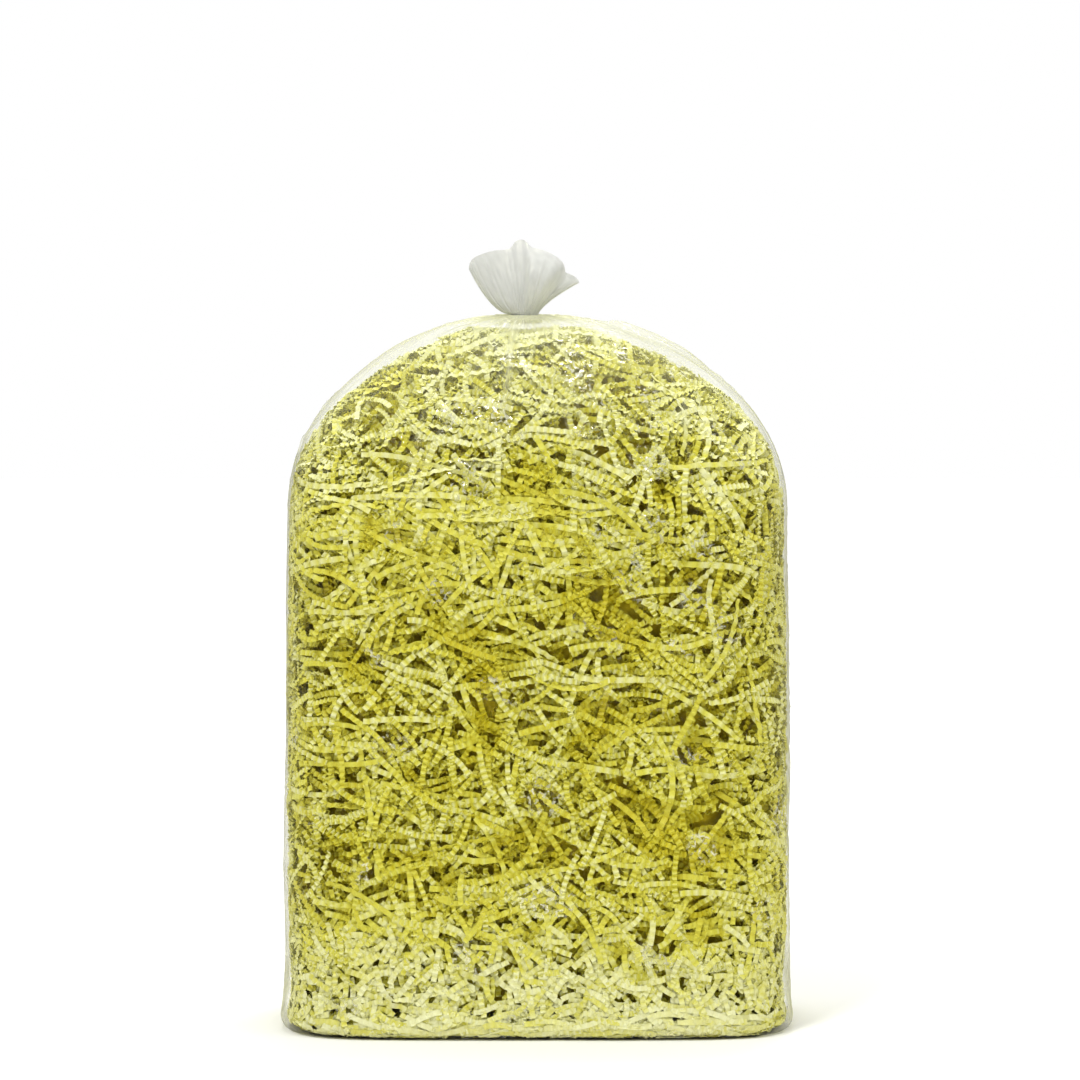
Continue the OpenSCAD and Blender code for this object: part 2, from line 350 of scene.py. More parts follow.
def region_names(points):
    """The CAD node that each strand's middle belongs to: by height, and by the side it is nearest."""
    half_width, half_depth = section(np.minimum(points[:, 2], 350), FILL_INSET, FILL_DROP)[:2]
    across, along = points[:, 0] / half_width, points[:, 1] / half_depth
    flank = np.abs(across) ** 1.3 > np.abs(along) ** 1.3
    z = points[:, 2]
    face = np.where(along < 0, "shred_front", "shred_back")
    face_band = np.select([z < top for top in FACE_BANDS], ["foot", "low", "high"], "shoulder")
    wall = np.where(across < 0, "shred_left", "shred_right")
    wall_band = np.select([z < top for top in WALL_BANDS], ["low", "high"], "shoulder")
    side = np.char.add(np.where(flank, wall, face), "_")
    names = np.char.add(side, np.where(flank, wall_band, face_band))
    return np.where(z > CROWN_BAND, "shred_crown", names)


def strand_starts(rng, count, chance):
    """Strands' middles on the shred's surface, each in a patch drawn with a chance by its area, and two
    tangents there: one level and one up the surface."""
    corner, side, rise, area = PATCHES
    weight = area * (1 if chance is None else chance(corner))
    pick = rng.choice(len(area), count, p=weight / weight.sum())
    over, up = rng.random((count, 1)), rng.random((count, 1))
    start = draw_to_fill(corner[pick] + side[pick] * over + rise[pick] * up)
    normal = fill_normals(start)
    level = unit(np.cross([0, 0, 1.0], normal) + [1e-6, 0, 0])
    return start, level, np.cross(normal, level)


def strand_paths(rng, count, folds, pitch, bend, lean, chance):
    """Strands' middles, their paths and the length of their steps. A path is an arc in the tangent plane at
    its middle, whose heading turns a little at each step, drawn back onto the shred's surface."""
    start, level, upward = strand_starts(rng, count, chance)
    heading = rng.uniform(0, np.pi, count)
    heading = heading - lean * 0.5 * np.sin(2 * heading)
    # the weight lays the lowest strands flat
    heading = np.where(start[:, 2] < 8 + 14 * rng.random(count), 0.4 * np.sin(2 * heading), heading)
    step = pitch * rng.uniform(0.82, 1.18, (count, 1))
    even_bend = rng.normal(0, bend, (count, 1))
    turning = even_bend + rng.normal(0, bend * 0.6, (count, 1)) * np.linspace(-1, 1, folds)
    angle = heading[:, None] + turning * step * (np.arange(folds) - folds / 2)
    along = np.cumsum(np.cos(angle) * step, 1)
    up = np.cumsum(np.sin(angle) * step, 1)
    along = np.pad(along, ((0, 0), (1, 0))) - along[:, folds // 2, None]
    up = np.pad(up, ((0, 0), (1, 0))) - up[:, folds // 2, None]
    path = start[:, None] + along[..., None] * level[:, None] + up[..., None] * upward[:, None]
    return start, draw_to_fill(path), step


def sink_by_place(sunk, path):
    """Sinks points further by where they lie: in hollows a few centimetres across, which the sides and the
    dome have less of; at the flanks' foot and on the dome, where the film stands off the shred; and less
    in a heap round the neck."""
    outer, z = np.abs(path[..., 0]), path[..., 2]
    hollow = smooth_step(waves(path, 48, 12) + 0.5 * waves(path, 22, 13), 0.1, 1.7)
    hollow = hollow * (1 - 0.8 * smooth_step(outer, 105, 128)) * smooth_step(z, 12, 60)
    sunk = sunk + 3.0 * smooth_step(outer, 120, 138) * (1 - smooth_step(z, 20, 60))
    sunk = sunk + 4.5 * hollow * (1 - 0.75 * smooth_step(z, 300, 370))
    from_neck = np.hypot(path[..., 0] - NECK_X, path[..., 1])
    heap = 2.6 * np.exp(-((from_neck - 32) / 15) ** 2) - 1.8 * np.exp(-(from_neck / 20) ** 2)
    return sunk + 3.2 * smooth_step(z, 325, 372) - heap * (z > 350)


def scattered(rng, depths, count):
    """Depths between two limits, the shallow ones more often: a power of an even spread."""
    low, high = depths
    return low + (high - low) * rng.random(count) ** 1.5


def lay_strands(rng, count, folds, pitch, crinkle, bend, roll, depths, dive, lean, chance):
    """Lays crinkled strands on the shred's surface. Each sinks below its path by its depth, and one end
    dives further. Its width turns about its path by its roll, and its folds go up and down in turn by half
    the crinkle. Its tone varies at random and also holds painted light and shade: painted golden shade
    where it lies deep and in its folds' valleys, and painted pale light on its folds' ridges, at the foot
    and on the dome."""
    start, path, step = strand_paths(rng, count, folds, pitch, bend, lean, chance)
    normal = fill_normals(path)
    forward = unit(np.gradient(path, axis=1))
    across = unit(np.cross(normal, forward))
    roll = roll * (1 + 0.7 * smooth_step(start[:, 2:], 290, 340))
    end_to_end = np.linspace(-1, 1, folds + 1)
    turn = rng.normal(0, 1, (count, 1)) * roll + rng.normal(0, 0.35, (count, 1)) * end_to_end
    cosine, sine = np.cos(turn)[..., None], np.sin(turn)[..., None]
    width_way = cosine * across + sine * normal
    fold_way = cosine * normal - sine * across
    reach = end_to_end * np.sign(rng.uniform(-1, 1, (count, 1)))
    sunk = scattered(rng, depths, count)[:, None]
    sunk = sunk + dive * rng.random((count, 1)) * (1 + reach) * 0.5 * step * folds
    sunk = sink_by_place(sunk, path)
    height = crinkle * rng.uniform(0.7, 1.25, (count, 1))
    sunk = sunk + np.abs(sine[..., 0]) * STRAND_WIDTH / 2 + np.abs(cosine[..., 0]) * height / 2
    fold = height * rng.uniform(0.75, 1.2, (count, folds + 1)) / 2 * (-1.0) ** np.arange(folds + 1)
    middle = path - normal * sunk[..., None] + fold_way * fold[..., None]
    half_width = width_way * STRAND_WIDTH / 2 * rng.uniform(0.88, 1.06, (count, 1, 1))
    half_paper = fold_way * PAPER_THICKNESS / 2
    corners = np.stack([middle - half_width - half_paper, middle + half_width - half_paper,
                        middle + half_width + half_paper, middle - half_width + half_paper], 2)
    corners[..., 2] = np.maximum(corners[..., 2], 0.9)
    z = path[..., 2]
    # the tone: a random part, painted light at the foot, where the floor throws light back, and on the
    # dome, where light falls from above, painted golden shade where a strand lies deep, and in each fold
    # painted shade in the valley and painted light on the ridge
    pale = 0.3 + 0.45 * rng.random((count, 1)) + 0.28 * (1 - smooth_step(z, 20, 75))
    pale = pale + 0.45 * smooth_step(z, 280, 370) - 0.5 * smooth_step(sunk, 2.0, 9.0) + fold * 0.27
    tone_and_painted_light = np.repeat(np.clip(pale, 0, 1), 4, axis=1)
    names = region_names(start)
    for name in np.unique(names):
        mine = names == name
        REGIONS.setdefault(name, []).append((corners[mine], tone_and_painted_light[mine]))


def strand_faces(count, folds):
    """Faces of closed strips with four corners at each fold: four long sides between folds, and two
    ends."""
    fold, edge = np.meshgrid(np.arange(folds), np.arange(4), indexing="ij")
    here, beside = fold * 4 + edge, fold * 4 + (edge + 1) % 4
    sides = np.stack([here, here + 4, beside + 4, beside], -1).reshape(-1, 4)
    ends = np.array([[0, 1, 2, 3], [3, 2, 1, 0]]) + [[0], [folds * 4]]
    one = np.concatenate([sides, ends])
    return (one[None] + (np.arange(count) * (folds + 1) * 4)[:, None, None]).reshape(-1, 4)


def shred_pieces(material):
    """One piece for each region's strands, in place of the CAD strands of that region."""
    for name, batches in sorted(REGIONS.items()):
        points, faces, tones_and_painted_light, start = [], [], [], 0
        for corners, tone_and_painted_light in batches:
            count, rings = corners.shape[:2]
            faces.append(strand_faces(count, rings - 1) + start)
            points.append(corners.reshape(-1, 3))
            tones_and_painted_light.append(tone_and_painted_light.ravel())
            start += count * rings * 4
        piece = make_piece(name.replace("shred", "strands"), np.concatenate(points), np.concatenate(faces),
                           material, smooth=False, attributes={"tone_and_painted_light": np.concatenate(tones_and_painted_light)})
        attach(piece, "bag")
        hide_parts(name)


def above_foot(points):
    """A chance of 0.3 at the foot, which rises to 1 between 30 and 90 mm up."""
    return 0.3 + 0.7 * smooth_step(points[:, 2], 30, 90)


def at_foot(points):
    """A chance of 1 at the foot, which falls to nought between 40 and 95 mm up."""
    return 1 - smooth_step(points[:, 2], 40, 95)


def at_bottom_edge(points):
    """A chance of 1 at the bottom edge, which falls to nought between 8 and 16 mm up."""
    return 1 - smooth_step(points[:, 2], 8, 16)


def in_upper_band(points):
    """A low chance all over, and about ten times that in a level band over the front's left and middle."""
    on_front_left = (points[:, 1] < 0) * (points[:, 0] < 40)
    return 0.25 + 2.6 * on_front_left * np.exp(-((points[:, 2] - 282) / 24.0) ** 2)


def lay_all_strands():
    """The shred as it lies against the film: a deep layer, crinkled strands at all rolls above it,
    pulled-out strands that run long and flat, and short flat bits at the foot where the weight presses
    them."""
    rng = np.random.default_rng(20)
    share = 1.0
    # count, folds, pitch, crinkle, bend, roll, depths, dive, lean towards level, chance by place
    for count, *traits in (
        (4050, 12, 1.9, 1.6, 0.02, 0.9, (4, 8), 0.15, 0.0, None),
        (5200, 12, 1.55, 1.55, 0.03, 0.6, (0.5, 6), 0.25, 0.0, above_foot),
        (2700, 20, 1.85, 1.55, 0.016, 0.3, (0, 3), 0.1, 0.2, above_foot),
        (560, 16, 3.4, 1.3, 0.01, 0.35, (0, 2.5), 0.06, 0.9, in_upper_band),
        (2500, 8, 2.0, 0.8, 0.03, 0.25, (0, 2.5), 0.15, 0.0, at_foot),
        (700, 8, 2.3, 0.4, 0.02, 0.25, (0, 3), 0.05, 1.0, at_bottom_edge),
    ):
        lay_strands(rng, int(count * share), *traits)


# ---------------------------------------------------------------- materials

def paper_material():
    """Dyed bond paper, crinkle-cut: a pale lemon dye that fine fibres mottle. Its colour is picked by the
    strands' tone, which varies at random and holds painted light and shade: painted deep gold between the
    strands and in their folds' valleys, where light bounces from strand to strand, and painted pale light
    where light falls on them."""
    made, output = new_material("lemon dyed bond paper")
    tree = made.node_tree
    tone_and_painted_light = add(tree, "ShaderNodeAttribute", attribute_name="tone_and_painted_light")
    place = add(tree, "ShaderNodeTexCoord")
    # from painted golden shade to painted pale light, picked by the tone, which also varies at random from
    # strand to strand
    shade = two_tones(tree, tone_and_painted_light.outputs["Fac"], "#D7CA18", "#FAFBC6")
    shade.color_ramp.elements.new(0.5).color = linear("#E6E252")
    # paper fibres clump at about 0.6 mm, drawn a little coarser than they are
    fibre = noise(tree, place, 0.9, 3.0)
    mixed = add(tree, "ShaderNodeMix", data_type="RGBA", blend_type="MULTIPLY")
    mixed.inputs[0].default_value = 0.16
    tree.links.new(shade.outputs["Color"], mixed.inputs[6])
    tree.links.new(fibre.outputs["Fac"], mixed.inputs[7])
    face = add(tree, "ShaderNodeBsdfPrincipled", {"Base Color": mixed.outputs[2]}, Roughness=0.55, IOR=1.48)
    face.inputs["Specular IOR Level"].default_value = 0.5
    tree.links.new(face.outputs["BSDF"], output.inputs["Surface"])
    return made


def packed_paper_in_painted_shade():
    """The same paper, deep in the pack, in painted shade: where little light comes back its colour is
    painted darker gold, in strand-sized light and dark patches that stand in for the shaded gaps between
    strands."""
    made, output = new_material("packed paper in shade")
    tree = made.node_tree
    place = add(tree, "ShaderNodeTexCoord")
    clumps = add(tree, "ShaderNodeTexVoronoi", {"Vector": place.outputs["Object"]}, Scale=1 / (4 * MM))
    shade = two_tones(tree, clumps.outputs["Distance"], "#E0CC20", "#BCA810")
    face = add(tree, "ShaderNodeBsdfPrincipled", {"Base Color": shade.outputs["Color"]}, Roughness=0.9)
    tree.links.new(face.outputs["BSDF"], output.inputs["Surface"])
    return made


def gloss_and_painted_highlight_lines(tree, place, glint):
    """Painted highlights for the glints of crumpled film: thin bright lines between its facets, broken into
    short runs as though only some of them catch the light, and only where the glint attribute says that the
    film is tight."""
    edges = add(tree, "ShaderNodeTexVoronoi", {"Vector": place.outputs["Object"]}, Scale=1 / (3.6 * MM),
                feature="DISTANCE_TO_EDGE")
    line = map_range(tree, edges.outputs["Distance"], 0.0, 0.2, 1.0, 0.0)
    caught = map_range(tree, noise(tree, place, 3.2, 1.0).outputs["Fac"], 0.53, 0.58, 0.0, 1.0)
    runs = math_node(tree, "MULTIPLY", line, caught)
    return math_node(tree, "MULTIPLY", runs, glint.outputs["Fac"])


def film_material(name, milk, mirror, roughness, print_depth):
    """Blown LDPE film. Face on it lets nearly all light through. Aslant its haze adds up to a milky veil
    and it mirrors more; where it bunches it is milky all through, which the haze attribute gives. Where it
    is tight over the strands their print throws small glints, which the glint attribute gives: there it
    mirrors more, and painted highlights, thin white lines, are added to its milky veil."""
    made, output = new_material(name)
    tree = made.node_tree
    haze = add(tree, "ShaderNodeAttribute", attribute_name="haze")
    glint = add(tree, "ShaderNodeAttribute", attribute_name="glint")
    place = add(tree, "ShaderNodeTexCoord")
    aslant = add(tree, "ShaderNodeLayerWeight", Blend=0.5)
    steep = math_node(tree, "POWER", aslant.outputs["Facing"], 3.0)
    streak = gloss_and_painted_highlight_lines(tree, place, glint)
    # crumpled film is a mosaic of small flat facets, a few millimetres across
    facets = add(tree, "ShaderNodeTexVoronoi", {"Vector": place.outputs["Object"]}, Scale=1 / (4.5 * MM))
    wrinkle = noise(tree, place, 5, 3.0)
    relief = math_node(tree, "ADD", facets.outputs["Distance"], wrinkle.outputs["Fac"])
    bump = add(tree, "ShaderNodeBump", {"Height": relief}, Strength=1.0, Distance=print_depth * MM)
    # light that crosses the film aslant has further to go in it, which draws a grey line round the outline
    dim = map_range(tree, steep, 0.3, 1.0, 0.99, 0.66)
    clear = add(tree, "ShaderNodeBsdfTransparent", {"Color": dim})
    milky = add(tree, "ShaderNodeBsdfDiffuse", Color=linear(milk))
    glow = add(tree, "ShaderNodeBsdfTranslucent", Color=linear(milk))
    body = add(tree, "ShaderNodeMixShader", {1: milky.outputs[0], 2: glow.outputs[0]}, Fac=0.5)
    # painted highlights: the streaks add thin white lines to the milky veil
    cloud = math_node(tree, "ADD", haze.outputs["Fac"], streak)
    veil = math_node(tree, "MULTIPLY_ADD", steep, 0.42, cloud, clamp=True)
    sheet = add(tree, "ShaderNodeMixShader", {0: veil, 1: clear.outputs[0], 2: body.outputs[0]})
    shine = add(tree, "ShaderNodeBsdfGlossy", {"Normal": bump.outputs[0]}, Color=linear("#FCF9E0"),
                Roughness=roughness)
    sparkle = math_node(tree, "MULTIPLY_ADD", glint.outputs["Fac"], 0.02, 0.0015)
    # along the same lines the film also mirrors more, a real reflection
    twinkle = math_node(tree, "MULTIPLY_ADD", streak, 0.3, sparkle)
    share = math_node(tree, "MULTIPLY_ADD", veil, mirror, twinkle, clamp=True)
    whole = add(tree, "ShaderNodeMixShader", {0: share, 1: sheet.outputs[0], 2: shine.outputs[0]})
    tree.links.new(whole.outputs[0], output.inputs["Surface"])
    return made


def ribbon_material():
    """PE-coated tie ribbon: white, satin, with the fine draw lines of its extrusion along it."""
    made, output = new_material("white coated tie ribbon")
    tree = made.node_tree
    lines = noise(tree, add(tree, "ShaderNodeTexCoord"), 0.8, 2.0)
    shade = two_tones(tree, lines.outputs["Fac"], "#DDDCD6", "#F4F3EF")
    bump = add(tree, "ShaderNodeBump", {"Height": lines.outputs["Fac"]}, Strength=0.3, Distance=0.1 * MM)
    face = add(tree, "ShaderNodeBsdfPrincipled",
               {"Base Color": shade.outputs["Color"], "Normal": bump.outputs[0]}, Roughness=0.38, IOR=1.5)
    tree.links.new(face.outputs["BSDF"], output.inputs["Surface"])
    return made


def wire_material():
    """Drawn tie wire, galvanised: grey, with dull and bright patches of zinc."""
    made, output = new_material("galvanised tie wire")
    tree = made.node_tree
    zinc = noise(tree, add(tree, "ShaderNodeTexCoord"), 0.6, 2.0)
    shade = two_tones(tree, zinc.outputs["Fac"], "#8C8F91", "#C4C6C8")
    face = add(tree, "ShaderNodeBsdfPrincipled", {"Base Color": shade.outputs["Color"]},
               Metallic=1.0, Roughness=0.4)
    tree.links.new(face.outputs["BSDF"], output.inputs["Surface"])
    return made


# ---------------------------------------------------------------- the film

def film_profile(count):
    """Rows of the filled bag's film, from the middle of its base to the tie: half width, half depth,
    exponent, middle and height. The dome goes over a rim into a funnel, and the film turns up through the
    tie."""
    inset = 0.4
    z = heights(600, inset, 0.0)
    z = z[z < CROWN - 3]
    half_width, half_depth, power, middle = section(z, inset)
    base = np.linspace(0.002, 0.98, 24)
    rim = CROWN - 1.3
    # radius and height: over the rim, down the funnel and up into the tie
    neck = np.array([
        [17.0, rim - 0.2], [15.6, rim], [14.0, rim - 0.3], [12.4, rim - 1.6], [11.0, rim - 3.3],
        [9.6, rim - 4.5], [8.3, rim - 4.7], [7.7, rim - 3.6], [7.6, rim - 2.0], [7.6, rim - 1.0],
    ])
    rows = np.concatenate([
        np.stack([base * half_width[0], base * half_depth[0], np.full(24, power[0]), base * 0,
                  z[0] + base * 0], 1),
        np.stack([half_width, half_depth, power, middle, z], 1),
        np.stack([neck[:, 0], neck[:, 0], np.full(10, 2.0), np.full(10, NECK_X), neck[:, 1]], 1),
    ])
    step = np.hypot(np.diff(rows[:, 1]), np.diff(rows[:, 4]))
    finer = np.where(rows[1:, 4] > CROWN - 40, 2.0, 1.0) * np.where(rows[1:, 1] < 17, 1.6, 1.0)
    length = np.concatenate([[0], np.cumsum(step * finer)])
    even = np.linspace(0, length[-1], count)
    return np.stack([np.interp(even, length, rows[:, k]) for k in range(5)], 1)


def bag_film(material):
    """The filled bag's film: the bag's own shape, pushed out along its normals by broad waves, thin
    creases, pleats that run out from the neck and a few folds."""
    around, rows = 384, 236
    profile = film_profile(rows)
    turn = even_turns(around, HALF_WIDTH, HALF_DEPTH, 4)
    grid = ring(turn[None, :], *(profile[:, k, None] for k in range(5)))
    # the film is drawn in to the tie, except behind it
    off = grid[..., :2] - [NECK_X, 0]
    from_neck = np.hypot(off[..., 0], off[..., 1])
    behind = np.exp(-(np.arctan2(off[..., 0], off[..., 1]) / 0.75) ** 2)
    drawn = np.maximum(from_neck - 6.2 * (1 - behind) * np.exp(-((from_neck - 17) / 14) ** 2), 10.0)
    drawn = np.where((grid[..., 2] > CROWN - 12) & (from_neck > 10), drawn, from_neck)
    grid[..., :2] = [NECK_X, 0] + off * (drawn / np.maximum(from_neck, 1e-6))[..., None]
    # how far the film is pushed out: waves, creases, pleats, the fold down from the neck and the one at
    # the shoulder
    normal = normals_of(grid)
    x, y, z = grid[..., 0], grid[..., 1], grid[..., 2]
    from_neck = np.hypot(x - NECK_X, y)
    crown = smooth_step(z, CROWN - 90, CROWN - 5)
    wall = smooth_step(z, 6, 30)
    in_moat = (from_neck < 18) & (z > CROWN - 12)
    pleat_turn = np.arctan2(y, x - NECK_X)
    fine = 0.9 * np.cos(31 * pleat_turn + 1.3 * waves(grid, 60, 5))
    broad = 0.8 * np.cos(15 * pleat_turn + 2.0 * waves(grid, 80, 6))
    pleats = (fine * np.exp(-((from_neck - 20) / 16) ** 2)
              + broad * np.exp(-((from_neck - 44) / 26) ** 2))
    patches = smooth_step(waves(grid, 120, 8), -0.6, 1.0)
    push = (0.45 * waves(grid, 75, 1) * wall
            + (0.3 + 0.7 * patches) * wall * (0.9 * creases(grid, 60, 2) + 0.5 * creases(grid, 26, 3))
            + pleats * (z > CROWN - 60) * np.where(in_moat, 0.25, 1))
    fold_x = x - (NECK_X - 5 - 0.12 * (CROWN - z))
    fold = 1.8 * np.exp(-(fold_x / 1.6) ** 2) * (y < 0) * smooth_step(z, 338, 352)
    push += fold * (1 - smooth_step(z, 388, 396))
    round_bag = np.arctan2(y * 1.3, x)
    fold_lines = creases(np.stack([round_bag * 90, z * 0.12, 0 * z], -1), 26, 9, 0.16)
    shoulder = smooth_step(z, 285, 330) * (1 - smooth_step(z, 380, 396))
    push += 1.1 * fold_lines * shoulder
    fin = smooth_step(x, 34, 50) * (1 - smooth_step(x, 80, 100)) * np.exp(-(y / 6.0) ** 2) * (z > 300)
    push += 3.2 * fin
    push = np.where(in_moat, push * smooth_step(from_neck, 8.5, 16), push)
    push = push * smooth_step(z, 0.5, 8)
    grid = grid + normal * push[..., None]
    # how milky it is: most round the neck, and along its folds and loose corners
    haze = 0.002 + 0.13 * crown ** 1.5 + 0.55 * np.exp(-((from_neck - 8) / 20) ** 2) * (z > CROWN - 30)
    haze = haze + 0.03 * creases(grid, 26, 3) * wall + 0.16 * fold_lines * shoulder + 0.1 * fin
    loose = smooth_step(np.abs(x), 128, 142) * (1 - smooth_step(z, 15, 55))
    haze = haze + loose * (0.1 + 0.3 * creases(grid, 40, 17, 0.5))
    haze = haze + 0.25 * np.exp(-(fold_x / 2.2) ** 2) * (y < 0) * smooth_step(z, 338, 352)
    haze = np.clip(haze - 0.45 * (1 - smooth_step(z, 2, 8)), -0.5, 0.9)
    # where it is tight over the strands, and throws glints: there it mirrors more and carries painted
    # highlights
    tight = np.exp(-((x - 75) / 32) ** 2) * smooth_step(z, 170, 220) * (1 - smooth_step(z, 335, 360))
    tight = tight + smooth_step(z, 322, 350) * np.exp(-((x - 8) / 75) ** 2) * smooth_step(from_neck, 35, 60)
    glint = 1.2 * tight * smooth_step(waves(grid, 30, 15), 0.5, 1.5)
    glint = glint + smooth_step(waves(grid, 40, 16), 1.5, 2.2)
    points = np.concatenate([grid.reshape(-1, 3), [[0, 0, profile[0, 4]], [NECK_X, 0, profile[-1, 4]]]])
    last = (rows - 1) * around
    faces = np.concatenate([tube_faces(rows, around), disc_faces(0, around, rows * around, False),
                            disc_faces(last, around, rows * around + 1, True)])
    haze, glint = np.append(haze.ravel(), [0.03, 0.5]), np.append(glint.ravel(), [0, 0])
    values = {"haze": haze, "glint": glint}
    piece = make_piece("bag_skin", points, faces, material, attributes=values)
    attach(piece, "bag")
    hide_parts("bag_film", "neck_gather", "bottom_seal")
    return piece


def packed_core(material):
    """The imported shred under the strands: the fill's shape, further in, with lumps a few centimetres
    across."""
    around, rows = 200, 130
    inset, drop = 15.0, 10.0
    z = heights(rows, inset, drop)
    turn = even_turns(around, HALF_WIDTH, HALF_DEPTH, 4)
    half_width, half_depth, power, middle = (v[:, None] for v in section(z, inset, drop))
    grid = ring(turn[None, :], np.maximum(half_width, 0.5), np.maximum(half_depth, 0.5), power, middle,
                z[:, None])
    grid = grid + normals_of(grid) * (1.2 * waves(grid, 22, 31) + 0.8 * waves(grid, 11, 32))[..., None]
    grid[..., 2] = np.maximum(grid[..., 2], 1.0)
    points = np.concatenate([grid.reshape(-1, 3), [grid[0].mean(0), grid[-1].mean(0)]])
    last = (rows - 1) * around
    faces = np.concatenate([tube_faces(rows, around), disc_faces(0, around, rows * around, False),
                            disc_faces(last, around, rows * around + 1, True)])
    piece = make_piece("packed_shred", points, faces, material)
    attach(piece, "bag")
    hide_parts("fill_core")


def lobe(angle, middle, width, height, power=2):
    """A smooth rise of the given height about middle, flat-topped when the power is above 2."""
    return height * np.exp(-np.abs((angle - middle) / width) ** power)


FAN_TURN = np.linspace(0, 2 * np.pi, 320, endpoint=False)
FAN_SPLIT = PIVOT[2] + 7.0  # the height where the neck's film ends and the tail's begins
FAN_ROOT = TIE_MIDDLE[2] - 1.6  # inside the tie
FAN_FLARE = TIE_HIGH[2] + 0.5  # just above the tie


def fan_rim():
    """The tail's rim: for each point round the loop its angle from straight up and its reach from the
    bend. The front leaf has a wing at the left and a round hood at the right; the back leaf stands up in a
    peak between them and ends in an ear at the right. The loop goes from one leaf to the other at its two
    ends."""
    swing = 5.0 - 63.0 * np.cos(FAN_TURN)
    front = 0.5 - 0.5 * np.tanh(4 * np.sin(FAN_TURN - np.pi))
    wing = 32.3 + lobe(swing, -51, 13, 6.9) + lobe(swing, -33, 11, 2.6) + lobe(swing, 68, 8, 0.9)
    near = wing + lobe(swing, -4.5, 8.0, 4.4, 3) - lobe(swing, 56, 10, 4.2)
    far = wing - lobe(swing, -5, 20, 4.0) - lobe(swing, 30, 14, 3.0) - lobe(swing, 51, 7, 2.8)
    return np.radians(swing), front * near + (1 - front) * far, front


def fan_powers(degrees):
    """Powers for the way across and the way up: the left edge sags and the right edge is drawn in."""
    left, right = smooth_step(-degrees, 10, 58), smooth_step(degrees, 20, 68)
    return 1.0 - 0.22 * left + 0.2 * right, 1.0 + 0.48 * left - 0.15 * right


def fan_rows(low, high, rows):
    """Rows of the tail's film from share low to share high of the way from the tie to the rim, each a
    closed loop. Below share 0 it stands up inside the tie. Above, a point's ways across and up are powers
    of its share. The leaves bow apart, the hood more than the rest, and fine pleats run up them."""
    swing, reach, front = fan_rim()
    steps = np.concatenate([[0, 0.001], np.linspace(0, 1, rows)[1:-1], [0.999, 1]])
    share = np.asarray(low) + (np.asarray(high) - np.asarray(low)) * steps[:, None]
    s = np.maximum(share, 0)
    degrees = np.degrees(swing)
    across, upward = fan_powers(degrees)
    root_x = NECK_X - NECK_FILM_RADIUS * np.cos(FAN_TURN)
    x = root_x + (NECK_X + 0.4 + reach * np.sin(swing) - root_x) * s ** across
    z = FAN_FLARE + (PIVOT[2] + reach * np.cos(swing) - FAN_FLARE) * s ** upward
    z = z + (FAN_FLARE - FAN_ROOT) * np.minimum(share, 0) / 0.15
    side = -np.sign(np.sin(FAN_TURN)) * np.abs(np.sin(FAN_TURN)) ** 0.7
    hood = smooth_step(degrees, -1, 9) * (1 - smooth_step(degrees, 34, 58)) * front
    wing = smooth_step(-degrees, -3, 4) * (1 - smooth_step(-degrees, 20, 50)) * front
    bow = np.sin(np.pi * s ** 0.75) * 3.4 + s * 1.6
    y = -NECK_FILM_RADIUS * np.sin(FAN_TURN) * (1 - s) + side * bow
    y = y - 7.5 * hood * np.sin(np.pi * s ** 1.3) * s ** 0.3 + 2.2 * wing * s ** 1.5
    pleats = ((29, 1.0), (41, 2.6), (53, 0.4), (71, 4.0))
    fine = sum(np.cos(rate * FAN_TURN + phase) for rate, phase in pleats)
    y = y + fine * 0.1 * np.minimum(1, s * 5) * (1.3 - s)
    return np.stack([x, y, z], -1)


def film_wall(grid, thickness):
    """A closed thin wall from a grid of rows: the rows, the same rows moved inwards, and strips that join
    them at the top and at the bottom."""
    rows, around = grid.shape[:2]
    inner = grid - normals_of(grid) * thickness
    points = np.concatenate([grid.reshape(-1, 3), inner.reshape(-1, 3)])
    outside = tube_faces(rows, around)
    inside = outside[:, ::-1] + rows * around
    here = np.arange(around)
    beside = (here + 1) % around
    top, shift = (rows - 1) * around, rows * around
    rim = np.stack([top + here, top + beside, top + beside + shift, top + here + shift], -1)
    foot = np.stack([beside, here, here + shift, beside + shift], -1)
    smooth = np.repeat([True, False], [2 * len(outside), 2 * around])
    return points, np.concatenate([outside, inside, rim, foot]), smooth


def tail_film(material):
    """The neck's film, and the fan above it. They meet along one level ring 7 mm above the knuckle's
    middle."""
    swing, reach, front = fan_rim()
    way_up = (FAN_SPLIT - FAN_FLARE) / (PIVOT[2] + reach * np.cos(swing) - FAN_FLARE)
    split = way_up ** (1 / fan_powers(np.degrees(swing))[1])
    low_grid = fan_rows(np.full_like(split, -0.15), split, 22)
    high_grid = fan_rows(split, np.ones_like(split), 44)
    for name, grid, bodies, nodes, start, end in (
        ("neck_film", low_grid, ("bag", "knuckle"), ("neck_knuckle",), PIVOT[2] - 5.5, FAN_SPLIT - 0.3),
        ("tail_film", high_grid, ("knuckle", "tail"), ("tail_root", "tail_fan"),
         FAN_SPLIT + 0.3, FAN_SPLIT + 9),
    ):
        points, faces, smooth = film_wall(grid, TAIL_FILM_THICKNESS)
        share = np.clip((points[:, 2] - FAN_ROOT) / 40, 0, 1)
        streak = np.arctan2(points[:, 0] - NECK_X, points[:, 2] - FAN_ROOT + 6)
        streaks = waves(np.stack([streak * 40, points[:, 1], 0 * streak], 1), 4, 41)
        haze = 0.88 - 0.05 * share + 0.06 * streaks
        haze = np.clip(haze, 0, 0.95)
        piece = make_piece(name, points, faces, material, smooth=smooth, attributes={"haze": haze})
        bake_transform(piece)
        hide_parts(*nodes)


# ---------------------------------------------------------------- the twist tie

